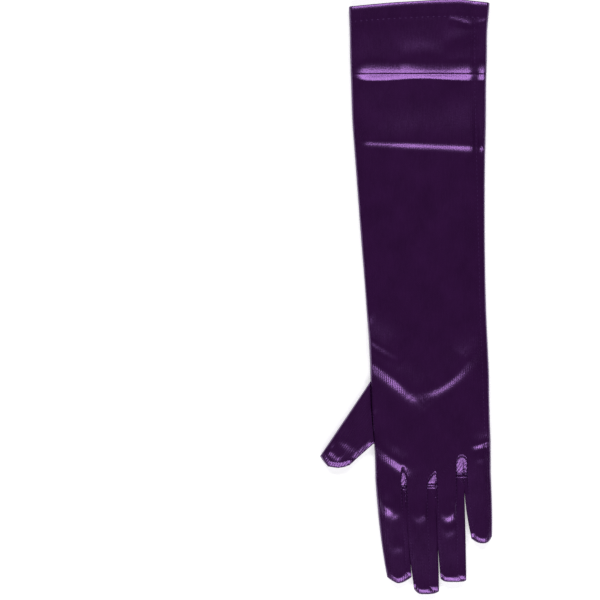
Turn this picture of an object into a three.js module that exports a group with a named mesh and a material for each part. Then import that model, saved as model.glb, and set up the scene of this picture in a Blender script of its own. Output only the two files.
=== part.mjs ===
// A long satin evening glove for the left hand, lying flat on its palm with the back of the hand up.
// One piece of stretch satin, the trank, wraps the arm, the palm and the four fingers. A thumb is set into a
// hole in its edge, three fourchettes make the side walls between the fingers, and a hem is turned in at the
// cuff. Every piece is a hollow wall of cloth. The cuff is towards +Y, the thumb towards -X, and the glove
// rests on z = 0.
import * as THREE from "three";

// Driving sizes, in millimetres
const SLEEVE_LENGTH = 265.5; // from the thumb's upper end to the cuff's edge
const PALM_LENGTH = 63.5; // from the thumb's upper end to the finger line
const MIDDLE_LENGTH = 85.5; // from the finger line to the tip of the middle finger
const CUFF_WIDTH = 99;
const WRIST_WIDTH = 83;
const HAND_WIDTH = 81; // across the four fingers at their crotches
const LOFT = 9.5; // how high the flat hand stands above the table
const CLOTH = 1; // the wall
const SEAM_GAP = 0.3; // left between two pieces that are sewn together
const HEM_DEPTH = 9;
const SLEEVE_LEAN = 8; // how far the sleeve's axis leans to the thumb's side at the cuff
const WRIST_SHIFT = 2; // how far the wrist's middle lies to the thumb's side of the hand's middle
const CUFF_SLANT = 4.5; // how far the cuff's edge drops towards the thumb's side
const FINGER_GAP = 0.6; // between two fingers at their roots
const FOURCHETTE_DROP = 10; // how much nearer the tips a crotch lies on the palm's sheet than on the back's
const NOTCH_DEPTH = 4.5; // depth of the round notch in each sheet that a fourchette folds into
const TIP_ROUND = 7; // the length over which a fingertip closes
const THUMB_HOLE = 44; // length of the thumb's hole in the trank's edge
const THUMB_EDGE = 63; // the thumb's outer edge, from the hole to its tip's corner
const THUMB_TIP_WIDTH = 23;
const THUMB_TIP_BULGE = 6; // how far the thumb's tip bulges past the line between its corners
const FOLD_RISE = 1.6; // how high the largest wrinkle stands

// Angles, in degrees
const THUMB_TURN = 34; // between the thumb's outer edge and the glove's length
const THUMB_TIP_TURN = 12; // between the line across its tip and the glove's width

// The sleeve from the wrist (0) to the cuff (1): flare is the share of what the cuff adds to the wrist's
// width, lean the share of the sleeve's lean and loft that of the hand's loft.
const SLEEVE_SECTIONS = [
  { along: 0, flare: 0, lean: 0, loft: 0.96 },
  { along: 0.08, flare: 0, lean: 0.11, loft: 0.95 },
  { along: 0.16, flare: 0.02, lean: 0.27, loft: 0.93 },
  { along: 0.27, flare: 0.1, lean: 0.45, loft: 0.92 },
  { along: 0.37, flare: 0.22, lean: 0.61, loft: 0.92 },
  { along: 0.48, flare: 0.35, lean: 0.75, loft: 0.93 },
  { along: 0.59, flare: 0.5, lean: 0.87, loft: 0.95 },
  { along: 0.69, flare: 0.67, lean: 0.96, loft: 0.96 },
  { along: 0.8, flare: 0.72, lean: 1, loft: 1 },
  { along: 0.85, flare: 0.81, lean: 1, loft: 1.04 },
  { along: 0.93, flare: 0.79, lean: 1.02, loft: 1.08 },
  { along: 1, flare: 1, lean: 0.93, loft: 1.14 },
];
// Rows of points up the sleeve, closer where a press or a wrinkle crosses it
const SLEEVE_ROWS = [
  0.03, 0.07, 0.12, 0.2, 0.29, 0.38, 0.47, 0.55, 0.6, 0.61, 0.62, 0.63, 0.64, 0.7, 0.76,
  0.8, 0.81, 0.82, 0.83, 0.84, 0.88, 0.92, 1,
];

// The cuff's edge from the thumb's side (0) to the little finger's (1), with its drop as a share of the
// cuff's slant.
const CUFF_EDGE = [
  { across: 0, drop: 1 },
  { across: 0.3, drop: 0.48 },
  { across: 0.6, drop: 0.1 },
  { across: 0.8, drop: 0 },
  { across: 1, drop: 0.4 },
];

// The fingers from the thumb's side. Width, lean and the insets of the two upper seams are shares of the
// hand's width, length is a share of the middle finger's, and taper and peak (where the tip is longest) are
// shares of the own width. cells is the number of cells across one sheet.
const FINGERS = [
  { width: 0.253, length: 0.912, lean: 0.092, leftSeam: 0.05, rightSeam: 0.042, taper: 0.18, peak: 0.4 },
  { width: 0.264, length: 1, lean: 0.064, leftSeam: 0.02, rightSeam: 0.082, taper: 0.2, peak: 0.45 },
  { width: 0.249, length: 0.9, lean: 0.038, leftSeam: 0.02, rightSeam: 0.074, taper: 0.13, peak: 0.42 },
  { width: 0.234, length: 0.585, lean: 0.045, leftSeam: 0.035, rightSeam: 0.05, taper: 0.3, peak: 0.5 },
];
// How far each crotch lies above the finger line, as a share of the palm's length
const CROTCHES = [{ up: 0 }, { up: 0 }, { up: 0.184 }];

// The wrinkles of the upper sheet run from a start to an end: x from the hand's middle as a share of the
// hand's width, y from the finger line as a share of the palm's length. rise is a share of the fold's rise,
// and above and below are how far it spreads to either side, as shares of the loft.
const FOLDS = [
  { startX: -0.52, startY: 1.08, endX: -0.18, endY: 0.8, rise: 1, above: 1.3, below: 0.6 },
  { startX: -0.18, startY: 0.8, endX: 0.1, endY: 0.84, rise: 0.75, above: 1.3, below: 0.7 },
  { startX: 0.1, startY: 0.84, endX: 0.42, endY: 1.14, rise: 0.8, above: 1.2, below: 0.7 },
  { startX: -0.44, startY: 0.2, endX: -0.24, endY: 0.04, rise: 0.8, above: 0.7, below: 0.7 },
];
// The presses of the folded pack across the sleeve: a groove between two soft shoulders, as shares of the
// fold's rise, each shoulder lying its reach (a share of the loft) away from the groove.
const PRESSES = [
  { along: 0.82, groove: 1.1, shoulder: 0.9, reach: 0.33 },
  { along: 0.62, groove: 0, shoulder: 0.55, reach: 0.33 },
];

const FINGER_LOFT = 0.94; // a finger's loft as a share of the hand's
const THUMB_LOFT = 0.84; // the thumb's loft as a share of the hand's
const SEAM_HEIGHT = 0.84; // the upper seams lie this share of the loft above the table
const FOOT_INSET = 0.17; // the lower seams lie this share of the loft in from a finger's side
const WALL_BEND = 0.78; // how high a side wall bends between its seams
const CROWN = 0.06; // how much higher the middle of the back stands than its edges, as a share of the loft
const TIP_BLUNTNESS = 2.1; // the power of a fingertip's outline, where a higher one is blunter
const THUMB_BLUNTNESS = 2.6; // the same power for the thumb's tip
const SLANT_START = 0.86; // the cuff's slant fades out at this share of the sleeve
const FOLD_FADE = 0.6; // a wrinkle fades out past its ends over this share of the loft
const GROOVE_WIDTH = 0.45; // a press's groove, as a share of its reach
const SIDE_FADE = 0.15; // wrinkles fade out over this share of the sheet's width at its sides
const LEAN_AT_ROOT = 0.6; // the share of its lean with which a finger sets off, and the rest makes it bend
const PALM_SPREAD = 0.5; // the fingers' columns have spread evenly over the palm at this share of it
const CROWN_START = 0.4; // the back of the hand has its full crown from this share of the palm on
const STEEPEST = 0.6; // the least that a corner's own direction counts when the wall is set inwards
const FINGER_CELLS = [4, 3, 3, 4]; // across one sheet of each finger
const NOTCH_STEPS = 3;
const SIDE_STEPS = 3;
const WALL_STEPS = 4;
const THUMB_STEPS = 6;
const FINGER_ROWS = [0.12, 0.3, 0.5, 0.75, 1]; // shares of a finger's straight part
const THUMB_ROWS = [0.14, 0.3, 0.5, 0.75, 1];
const TIP_ROWS = [0.35, 0.7, 0.9, 1]; // shares of the length over which a tip closes
const WALL_END = 0.5; // a side wall ends at this tip row
const SEAM_END = 0.9; // from this tip row on the two sheets are sewn to each other
const SAME = 0.001; // points or lengths that differ by less are the same one

const { lerp, clamp, degToRad } = THREE.MathUtils;
const smooth = (share) => THREE.MathUtils.smoothstep(share, 0, 1);
const steps = (count) => Array.from({ length: count + 1 }, (_, i) => i / count);

// One column of a table of rows, with straight lines between the rows.
function tableValue(table, placeColumn, valueColumn, place) {
  const found = table.findIndex((row) => row[placeColumn] >= place);
  const next = clamp(found < 0 ? table.length : found, 1, table.length - 1);
  const [a, b] = [table[next - 1], table[next]];
  const share = clamp((place - a[placeColumn]) / (b[placeColumn] - a[placeColumn]), 0, 1);
  return lerp(a[valueColumn], b[valueColumn], share);
}

// A sheet of cloth, held as cells between shared points of its outer surface.
class Cloth {
  points = [];
  faces = [];
  numbers = new Map();

  numberOf(point) {
    const key = point.toArray().map((value) => Math.round(value / SAME)).join();
    if (!this.numbers.has(key)) {
      this.numbers.set(key, this.points.length);
      this.points.push(point.clone());
    }
    return this.numbers.get(key);
  }

  // Rows of points, with the outside facing whoever sees a row run left to right and the next row above it.
  // A cell is split along its shorter diagonal, and one with two equal corners becomes one triangle.
  grid(...rows) {
    for (let j = 0; j + 1 < rows.length; j++) {
      for (let i = 0; i + 1 < rows[j].length; i++) {
        const corners = [rows[j][i], rows[j][i + 1], rows[j + 1][i + 1], rows[j + 1][i]];
        const [a, b, c, d] = corners.map((corner) => this.numberOf(corner));
        const isRising = corners[0].distanceTo(corners[2]) <= corners[1].distanceTo(corners[3]) + SAME;
        const halves = isRising ? [[a, b, c], [a, c, d]] : [[a, b, d], [b, c, d]];
        this.faces.push(...halves.filter((face) => new Set(face).size === 3));
      }
    }
    return this;
  }

  // The points moved inwards by a depth that is measured square to the faces.
  inwards(depth) {
    const corners = this.faces.map((face) => face.map((number) => this.points[number]));
    const triangles = corners.map((three) => new THREE.Triangle(...three));
    const faceNormals = triangles.map((triangle) => triangle.getNormal(new THREE.Vector3()));
    const normals = this.points.map(() => new THREE.Vector3());
    this.faces.forEach((face, f) => {
      for (const number of face) normals[number].addScaledVector(faceNormals[f], triangles[f].getArea());
    });
    normals.forEach((normal) => normal.normalize());
    const meeting = this.points.map(() => []);
    this.faces.forEach((face, f) => {
      for (const number of face) meeting[number].push(normals[number].dot(faceNormals[f]));
    });
    return this.points.map((point, number) => {
      const facing = meeting[number].reduce((sum, value) => sum + value, 0) / meeting[number].length;
      return point.clone().addScaledVector(normals[number], -depth / Math.max(facing, STEEPEST));
    });
  }

  // The closed wall that starts at a depth below the outer surface, with its cut edges closed.
  wall(thickness, depth = 0) {
    const outer = this.inwards(depth);
    const inner = this.inwards(depth + thickness);
    const corners = [];
    const edges = new Map();
    for (const [a, b, c] of this.faces) {
      corners.push(outer[a], outer[b], outer[c], inner[a], inner[c], inner[b]);
      for (const edge of [[a, b], [b, c], [c, a]]) edges.set(edge.join(), edge);
    }
    for (const [from, to] of edges.values()) {
      if (edges.has([to, from].join())) continue;
      corners.push(outer[to], outer[from], inner[from], outer[to], inner[from], inner[to]);
    }
    const geometry = new THREE.BufferGeometry().setFromPoints(corners);
    geometry.computeVertexNormals();
    return geometry;
  }
}

// The fingers with their sizes in millimetres and their middles, from the thumb's side.
const clearWidth = HAND_WIDTH - FINGER_GAP * (FINGERS.length - 1);
const roundInset = (LOFT * FINGER_LOFT) / 2;
const fingers = FINGERS.map((row, k) => {
  const before = FINGERS.slice(0, k).reduce((sum, other) => sum + other.width, 0);
  const isFirst = k === 0;
  const isLast = k + 1 === FINGERS.length;
  return {
    ...row,
    middle: (before + row.width / 2) * clearWidth + k * FINGER_GAP - HAND_WIDTH / 2,
    width: row.width * clearWidth,
    length: row.length * MIDDLE_LENGTH,
    lean: row.lean * HAND_WIDTH,
    leftSeam: isFirst ? roundInset : row.leftSeam * HAND_WIDTH,
    rightSeam: isLast ? roundInset : row.rightSeam * HAND_WIDTH,
    leftFoot: isFirst ? roundInset : FOOT_INSET * LOFT,
    rightFoot: isLast ? roundInset : FOOT_INSET * LOFT,
  };
});

// The columns of points across a sheet, from the thumb's side: each finger's own, with a notch's turn between
// them.
const columns = fingers.flatMap((finger, k) => {
  const own = steps(FINGER_CELLS[k]).map((share) => ({ finger: k, share }));
  const turns = steps(NOTCH_STEPS).slice(1, -1).map((share) => ({ notch: k, turn: 2 * share - 1 }));
  return k + 1 < fingers.length ? [...own, ...turns] : own;
});

// How high above the finger line a seam leaves its notch, on the upper or the lower sheet.
function seamStart(notch, upper) {
  const nearest = clamp(notch, 0, CROTCHES.length - 1);
  const drop = upper || nearest !== notch ? 0 : FOURCHETTE_DROP;
  return CROTCHES[nearest].up * PALM_LENGTH - NOTCH_DEPTH - drop;
}

// The y at which a column passes from the palm into its finger or ends in its notch.
function rootY(column, upper) {
  if (column.notch === undefined)
    return lerp(seamStart(column.finger - 1, upper), seamStart(column.finger, upper), column.share);
  return seamStart(column.notch, upper) + NOTCH_DEPTH * Math.cos((column.turn * Math.PI) / 2);
}

// The left and right edges of a finger at a y.
function fingerEdges(finger, y) {
  const down = clamp(-y / finger.length, 0, 1);
  const middle = finger.middle + finger.lean * down * lerp(LEAN_AT_ROOT, 1, down);
  const half = (finger.width * (1 - finger.taper * down * down)) / 2;
  return { left: middle - half, right: middle + half };
}

// The x of a finger's column at a y. open is 1 where the finger has its full loft and 0 where its tip has
// closed.
function fingerX(column, y, upper, open = 1) {
  const finger = fingers[column.finger];
  const edges = fingerEdges(finger, y);
  const leftInset = (upper ? finger.leftSeam : finger.leftFoot) * open;
  const rightInset = (upper ? finger.rightSeam : finger.rightFoot) * open;
  return lerp(edges.left + leftInset, edges.right - rightInset, column.share);
}

function rootX(column, upper) {
  if (column.notch === undefined) return fingerX(column, rootY(column, upper), upper);
  const y = seamStart(column.notch, upper);
  const left = fingerX({ finger: column.notch, share: 1 }, y, upper);
  const right = fingerX({ finger: column.notch + 1, share: 0 }, y, upper);
  return lerp(left, right, (1 + Math.sin((column.turn * Math.PI) / 2)) / 2);
}

// How high a finger's upper sheet stands at a column, as a share of its loft: its two edges, with a crown
// between them.
function fingerHeight(column) {
  if (column.notch !== undefined) return SEAM_HEIGHT;
  const left = column.finger === 0 ? 1 : SEAM_HEIGHT;
  const right = column.finger + 1 === fingers.length ? 1 : SEAM_HEIGHT;
  const edge = lerp(left, right, column.share);
  return edge + (1 + CROWN - edge) * Math.sin(Math.PI * column.share);
}

// A finger's rows of points: straight runs 0 to 1 from the root, and tip 0 to 1 where the tip closes.
const fingerRows = [
  { straight: 0, tip: 0 },
  ...FINGER_ROWS.map((straight) => ({ straight, tip: 0 })),
  ...TIP_ROWS.map((tip) => ({ straight: 1, tip })),
];

// How far the two sheets of a tip still stand apart at a row, as a share of the loft.
function openShare(row) {
  return Math.sqrt(1 - row.tip ** 2);
}

function fingerLoft(row) {
  return LOFT * lerp(1, FINGER_LOFT, smooth(Math.min(1, row.straight / FINGER_ROWS[1])));
}

// A point of a finger's upper or lower sheet.
function fingerPoint(column, row, upper) {
  const finger = fingers[column.finger];
  const off = Math.abs(column.share - finger.peak) / Math.max(finger.peak, 1 - finger.peak);
  const tipY = -finger.length + TIP_ROUND * off ** TIP_BLUNTNESS;
  const straightY = lerp(rootY(column, upper), tipY + TIP_ROUND, row.straight);
  const y = row.tip > 0 ? tipY + TIP_ROUND * (1 - row.tip) : straightY;
  const sewn = row.tip >= SEAM_END && (column.share === 0 || column.share === 1);
  const open = sewn ? 0 : openShare(row);
  const loft = fingerLoft(row);
  const z = lerp(loft / 2, upper ? fingerHeight(column) * loft : 0, open);
  return new THREE.Vector3(fingerX(column, y, upper, open), y, z);
}

// How far the wrinkles and presses lift the upper sheet at a point.
function wrinkles(x, y) {
  const lifts = FOLDS.map((fold) => {
    const start = new THREE.Vector2(fold.startX * HAND_WIDTH, fold.startY * PALM_LENGTH);
    const run = new THREE.Vector2(fold.endX * HAND_WIDTH, fold.endY * PALM_LENGTH).sub(start);
    const to = new THREE.Vector2(x, y).sub(start);
    const share = to.dot(run) / run.lengthSq();
    const beyond = (Math.max(0, -share, share - 1) * run.length()) / (FOLD_FADE * LOFT);
    const aside = run.cross(to) / run.length() / LOFT;
    const spread = aside > 0 ? fold.above : fold.below;
    return fold.rise * Math.exp(-((aside / spread) ** 2) - beyond ** 2);
  });
  const presses = PRESSES.map((press) => {
    const away = Math.abs(y - PALM_LENGTH - press.along * SLEEVE_LENGTH) / (press.reach * LOFT);
    const shoulder = press.shoulder * Math.exp(-((away - 1) ** 2));
    return shoulder - press.groove * Math.exp(-((away / GROOVE_WIDTH) ** 2));
  });
  return FOLD_RISE * [...lifts, ...presses].reduce((sum, lift) => sum + lift, 0);
}

// The half width, middle and loft of the arm. place runs 0 to 1 from the finger line to the wrist, and 1 to 2
// from there to the cuff.
function armSection(place) {
  const palm = smooth(Math.min(place, 1));
  const up = Math.max(place - 1, 0);
  const flare = tableValue(SLEEVE_SECTIONS, "along", "flare", up) * (CUFF_WIDTH - WRIST_WIDTH);
  const lean = tableValue(SLEEVE_SECTIONS, "along", "lean", up) * SLEEVE_LEAN;
  return {
    half: (lerp(HAND_WIDTH, WRIST_WIDTH, palm) + flare) / 2,
    middle: -WRIST_SHIFT * palm - lean,
    loft: LOFT * lerp(1, tableValue(SLEEVE_SECTIONS, "along", "loft", up), palm),
  };
}

// A point of the arm's upper or lower sheet. A column keeps its share of the width from the fingers to the
// cuff.
function armPoint(column, place, upper) {
  const section = armSection(place);
  const first = rootX(columns[0], upper);
  const last = rootX(columns.at(-1), upper);
  const share = (rootX(column, upper) - first) / (last - first);
  const flat = section.half - section.loft / 2;
  const spread = section.middle + lerp(-flat, flat, share);
  const x = lerp(rootX(column, upper), spread, Math.min(1, place / PALM_SPREAD));
  const up = Math.max(place - 1, 0);
  const slanted = smooth((up - SLANT_START) / (1 - SLANT_START));
  const slant = CUFF_SLANT * tableValue(CUFF_EDGE, "across", "drop", share) * slanted;
  const palmY = lerp(rootY(column, upper), PALM_LENGTH, Math.min(place, 1));
  const y = palmY + up * SLEEVE_LENGTH - slant;
  if (!upper) return new THREE.Vector3(x, y, 0);
  const lift = Math.min(1, share / SIDE_FADE, (1 - share) / SIDE_FADE) * wrinkles(x, y);
  const back = section.loft * (1 + CROWN * Math.sin(Math.PI * share)) + lift;
  return new THREE.Vector3(x, y, lerp(fingerHeight(column) * LOFT, back, smooth(place / CROWN_START)));
}

// The round side from a corner of the upper sheet to the corner below it, bulging out by a vector at its
// widest.
function roundSide(above, below, bulge) {
  const widest = Math.sin((Math.PI * Math.floor(SIDE_STEPS / 2)) / SIDE_STEPS);
  return steps(SIDE_STEPS).map((share) => {
    const point = above.clone().lerp(below, (1 - Math.cos(Math.PI * share)) / 2);
    return point.addScaledVector(bulge, Math.sin(Math.PI * share) / widest);
  });
}

// One loop round the arm: the upper sheet from the thumb's side, the far side, the lower sheet back and the
// near side.
function armLoop(place) {
  const upper = columns.map((column) => armPoint(column, place, true));
  const lower = columns.map((column) => armPoint(column, place, false)).reverse();
  const bulge = new THREE.Vector3(armSection(place).loft / 2, 0, 0);
  const far = roundSide(upper.at(-1), lower[0], bulge);
  const near = roundSide(upper[0], lower.at(-1), bulge.negate()).reverse();
  return { upper, far, lower, near };
}

// The thumb's hole ends at the wrist line and starts at this place on the palm
const holeStart = 1 - THUMB_HOLE / (PALM_LENGTH - rootY(columns[0], true));
const palmPlaces = [0, 0.25, 0.6, 1].map((share) => share * holeStart);
const holePlaces = [0.2, 0.4, 0.6, 0.8, 1].map((share) => lerp(holeStart, 1, share));
const hemStart = 1 - HEM_DEPTH / SLEEVE_LENGTH;
const sleevePlaces = [...SLEEVE_ROWS, hemStart].sort((a, b) => a - b).map((up) => 1 + up);

// The trank: the arm and the palm round, with the thumb's hole in the near edge, and two sheets for each
// finger.
function trank() {
  const cloth = new Cloth();
  const places = [...palmPlaces, ...holePlaces, ...sleevePlaces];
  const loops = places.map(armLoop);
  for (let j = 0; j + 1 < places.length; j++) {
    const pair = [loops[j], loops[j + 1]];
    const holed = places[j] >= holeStart && places[j + 1] <= 1;
    cloth.grid(...pair.map((loop) => loop.upper));
    cloth.grid(...pair.map((loop) => loop.far));
    cloth.grid(...pair.map((loop) => loop.lower));
    cloth.grid(...pair.map((loop) => (holed ? loop.near.slice(SIDE_STEPS - 1) : loop.near)));
  }
  const fromTip = [...fingerRows].reverse();
  fingers.forEach((finger, k) => {
    const own = columns.filter((column) => column.finger === k);
    const upper = fromTip.map((row) => own.map((column) => fingerPoint(column, row, true)));
    const lower = fromTip.map((row) => own.map((column) => fingerPoint(column, row, false)).reverse());
    cloth.grid(...upper).grid(...lower);
    const outwards = k === 0 ? -1 : 1;
    const bulgeOf = (row) => (outwards * openShare(row) * fingerLoft(row)) / 2;
    const bulges = fromTip.map((row) => new THREE.Vector3(bulgeOf(row), 0, 0));
    const near = bulges.map((bulge, j) => roundSide(upper[j][0], lower[j].at(-1), bulge).reverse());
    const far = bulges.map((bulge, j) => roundSide(upper[j].at(-1), lower[j][0], bulge));
    if (k === 0) cloth.grid(...near);
    if (k + 1 === fingers.length) cloth.grid(...far);
  });
  return cloth.wall(CLOTH);
}

// A point of the side wall of a finger, at a share from its upper seam down to its lower one: a curve that
// bends over the finger's edge and just touches it.
function sideWallPoint(column, row, share) {
  const above = fingerPoint(column, row, true);
  const below = fingerPoint(column, row, false);
  const edges = fingerEdges(fingers[column.finger], (above.y + below.y) / 2);
  const edge = column.share === 0 ? edges.left : edges.right;
  const outwards = column.share === 0 ? -1 : 1;
  const touch = Math.sqrt(Math.abs(above.x - edge) * Math.abs(below.x - edge));
  const bendZ = lerp(below.z, above.z, WALL_BEND);
  const bend = new THREE.Vector3(edge + outwards * touch, below.y, bendZ);
  const upperClear = (CLOTH + 2 * SEAM_GAP) / (2 * above.distanceTo(bend));
  const lowerClear = (CLOTH + SEAM_GAP) / (2 * (bend.z - below.z));
  const at = lerp(upperClear, 1 - lowerClear, share);
  return new THREE.QuadraticBezierCurve3(above, bend, below).getPoint(at);
}

// The fourchette between a finger and the next: up the one, round the crotch and down the other.
function fourchette(notch) {
  const leg = [...fingerRows.filter((row) => row.tip < WALL_END), { straight: 1, tip: WALL_END }];
  const sides = [{ finger: notch, share: 1 }, { finger: notch + 1, share: 0 }];
  const [up, down] = sides.map((side) =>
    leg.map((row) => steps(WALL_STEPS).map((share) => sideWallPoint(side, row, share))));
  const turns = columns.filter((column) => column.notch === notch).map(({ turn }) => {
    const across = (1 + Math.sin((turn * Math.PI) / 2)) / 2;
    const rise = new THREE.Vector3(0, NOTCH_DEPTH * Math.cos((turn * Math.PI) / 2), 0);
    return up[0].map((point, i) => point.clone().lerp(down[0][i], across).add(rise));
  });
  return new Cloth().grid(...up.reverse(), ...turns, ...down).wall(CLOTH);
}

// The cut edge of the thumb's hole, a seam's gap outside it, from the upper lip down and in to the lower
// sheet. share runs from the wrist's end of the hole (0) to the fingers' end (1).
function holeEdge(share) {
  const near = armLoop(lerp(1, holeStart, share)).near;
  const apart = new THREE.Vector3(-SEAM_GAP, SEAM_GAP * (2 * share - 1), 0);
  const fromLip = [...near.slice(0, SIDE_STEPS), near[SIDE_STEPS - 1]].reverse();
  return fromLip.map((point) => point.clone().add(apart));
}

// A point of the thumb's plan, at a share from its outer edge to its inner one.
function thumbPlan(row, share) {
  const [outerStart, innerStart] = [holeEdge(0)[0], holeEdge(1)[0]];
  const turn = degToRad(THUMB_TURN);
  const tipTurn = degToRad(THUMB_TIP_TURN);
  const outwards = new THREE.Vector3(-Math.sin(turn), -Math.cos(turn), 0);
  const outerEnd = outwards.multiplyScalar(THUMB_EDGE).add(outerStart);
  const across = new THREE.Vector3(Math.cos(tipTurn), -Math.sin(tipTurn), 0);
  const innerEnd = across.multiplyScalar(THUMB_TIP_WIDTH).add(outerEnd);
  const start = outerStart.lerp(innerStart, share).setZ(0);
  const end = outerEnd.lerp(innerEnd, share).setZ(0);
  const direction = end.clone().sub(start).normalize();
  const bulge = THUMB_TIP_BULGE * (1 - Math.abs(2 * share - 1) ** THUMB_BLUNTNESS);
  const tip = end.addScaledVector(direction, bulge);
  if (row.tip > 0) return tip.addScaledVector(direction, -TIP_ROUND * (1 - row.tip));
  return start.lerp(tip.addScaledVector(direction, -TIP_ROUND), row.straight);
}

// One loop round the thumb: the upper side from the outer edge, the inner side, the lower side back and the
// outer side.
function thumbLoop(row) {
  const open = openShare(row);
  const loft = LOFT * THUMB_LOFT;
  const [outer, inner] = [thumbPlan(row, 0), thumbPlan(row, 1)];
  const inset = ((loft / 2) * open) / outer.distanceTo(inner);
  const place = (share) => thumbPlan(row, lerp(inset, 1 - inset, share));
  const point = (share, z) => place(share).setZ(lerp(loft / 2, z, open));
  const upper = steps(THUMB_STEPS).map((share) => {
    const back = loft * (1 + CROWN * Math.sin(Math.PI * share));
    return point(share, lerp(holeEdge(share)[0].z, back, smooth(row.straight / THUMB_ROWS[2])));
  });
  const lower = steps(THUMB_STEPS).map((share) => point(1 - share, 0));
  const bulge = outer.clone().sub(inner).setLength((loft / 2) * open);
  const outerSide = roundSide(upper[0], lower.at(-1), bulge).reverse();
  const innerSide = roundSide(upper.at(-1), lower[0], bulge.negate());
  return [...upper, ...innerSide, ...lower, ...outerSide];
}

// The thumb: its base fits the hole's edge, and its tip closes like a finger's.
function thumb() {
  const edges = steps(THUMB_STEPS).map(holeEdge);
  const base = [
    ...edges.map((edge) => edge[0]),
    ...edges.at(-1),
    ...edges.map((edge) => edge.at(-1)).reverse(),
    ...[...edges[0]].reverse(),
  ];
  const straight = THUMB_ROWS.map((share) => thumbLoop({ straight: share, tip: 0 }));
  const closing = TIP_ROWS.map((tip) => thumbLoop({ straight: 1, tip }));
  return new Cloth().grid(...[base, ...straight, ...closing].reverse()).wall(CLOTH);
}

// The hem, a second wall inside the first along the cuff.
function cuffHem() {
  const loops = [hemStart, (1 + hemStart) / 2, 1].map((up) => armLoop(1 + up));
  const rows = loops.map((loop) => [...loop.upper, ...loop.far, ...loop.lower, ...loop.near]);
  return new Cloth().grid(...rows).wall(CLOTH, CLOTH + SEAM_GAP);
}

// One piece of the glove in satin of its own tone.
function piece(name, geometry, color, roughness) {
  const satin = new THREE.MeshStandardMaterial({ color, roughness, metalness: 0.1 });
  const mesh = new THREE.Mesh(geometry, satin);
  mesh.name = name;
  return mesh;
}

const glove = new THREE.Group();
glove.add(
  piece("trank", trank(), 0x3a1746, 0.35),
  piece("thumb", thumb(), 0x3f1a4c, 0.35),
  piece("fourchette_index_middle", fourchette(0), 0x441c52, 0.38),
  piece("fourchette_middle_ring", fourchette(1), 0x441c52, 0.38),
  piece("fourchette_ring_little", fourchette(2), 0x441c52, 0.38),
  piece("cuff_hem", cuffHem(), 0x2e1238, 0.45),
);

// The origin is the middle of the glove's outline, on the table
const box = new THREE.Box3().setFromObject(glove);
const middle = box.getCenter(new THREE.Vector3());
for (const mesh of glove.children) mesh.position.set(-middle.x, -middle.y, -box.min.z);

export default glove;
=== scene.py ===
import bpy
import numpy as np
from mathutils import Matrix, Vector


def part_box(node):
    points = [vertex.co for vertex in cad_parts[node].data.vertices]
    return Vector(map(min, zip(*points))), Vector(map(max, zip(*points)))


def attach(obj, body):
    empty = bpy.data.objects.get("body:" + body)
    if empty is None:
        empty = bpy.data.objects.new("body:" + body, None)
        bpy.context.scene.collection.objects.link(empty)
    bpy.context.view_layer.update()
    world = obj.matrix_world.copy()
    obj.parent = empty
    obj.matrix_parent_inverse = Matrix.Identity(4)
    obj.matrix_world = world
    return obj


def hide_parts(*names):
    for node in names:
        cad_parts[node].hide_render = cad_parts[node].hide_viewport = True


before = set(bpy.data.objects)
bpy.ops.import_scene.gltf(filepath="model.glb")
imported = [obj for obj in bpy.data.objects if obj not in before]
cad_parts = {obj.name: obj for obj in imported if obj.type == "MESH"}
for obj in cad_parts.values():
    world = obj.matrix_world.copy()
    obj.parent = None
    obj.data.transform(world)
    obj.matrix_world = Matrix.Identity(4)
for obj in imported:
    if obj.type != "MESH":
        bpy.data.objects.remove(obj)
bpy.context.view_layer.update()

# Trank
# One piece of stretch satin wraps the arm and the palm and makes the fronts and backs of all four fingers.
# It is knitted polyester with a satin face, cut flat, folded along the thumb's side and sewn up along the
# little finger's.
MILLIMETRE = 0.001
PALM_LENGTH = 63.5
MIDDLE_LENGTH = 85.5
HAND_WIDTH = 81.0
WRIST_WIDTH = 83.0
CUFF_WIDTH = 99.0
LOFT = 9.5
CLOTH = 0.5
WRIST_SHIFT = 2.0
SLEEVE_LEAN = 8.0
THUMB_HOLE = 44.0
FINGER_GAP = -0.45  # the fingers are pressed together at their roots
FOURCHETTE_DROP = 10.0  # how much nearer the tips each crotch lies on the palm's side

SLEEVE_SECTIONS = {
    "along": [0, 0.08, 0.16, 0.27, 0.37, 0.48, 0.59, 0.69, 0.8, 0.85, 0.93, 1],
    "flare": [0, 0, 0.02, 0.1, 0.22, 0.35, 0.5, 0.67, 0.72, 0.81, 0.79, 1],
    "lean": [0, 0.11, 0.27, 0.45, 0.61, 0.75, 0.87, 0.96, 1, 1, 1.02, 0.93],
    "loft": [0.96, 0.95, 0.93, 0.92, 0.92, 0.93, 0.95, 0.96, 1, 1.04, 1.08, 1.14],
}
SECTION_SOFTNESS = 0.04  # how much of the sleeve's length each corner of those sections is rounded over
SECTION_SAMPLES = 7

# The cuff's end: how far it slants, where along the sleeve that starts, how it drops across the width, the
# radius of the edge that the hem turns round, and the pressed slope just before that edge.
CUFF_SLANT = 4.5
SLANT_START = 0.86
CUFF_EDGE = {"across": [0, 0.3, 0.6, 0.8, 1], "drop": [1, 0.48, 0.1, 0, 0.4]}
CUFF_ROLL = 0.8
CUFF_RIM = {"width": 1.5, "drop": 0.55}
HEM_STITCH = 11.0  # from the cuff's edge down to the row of stitches
HEM_GROOVE = {"depth": 0.14, "width": 0.9, "rise": 0.06, "rise_over": 1.5}  # which those stitches pull

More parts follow.
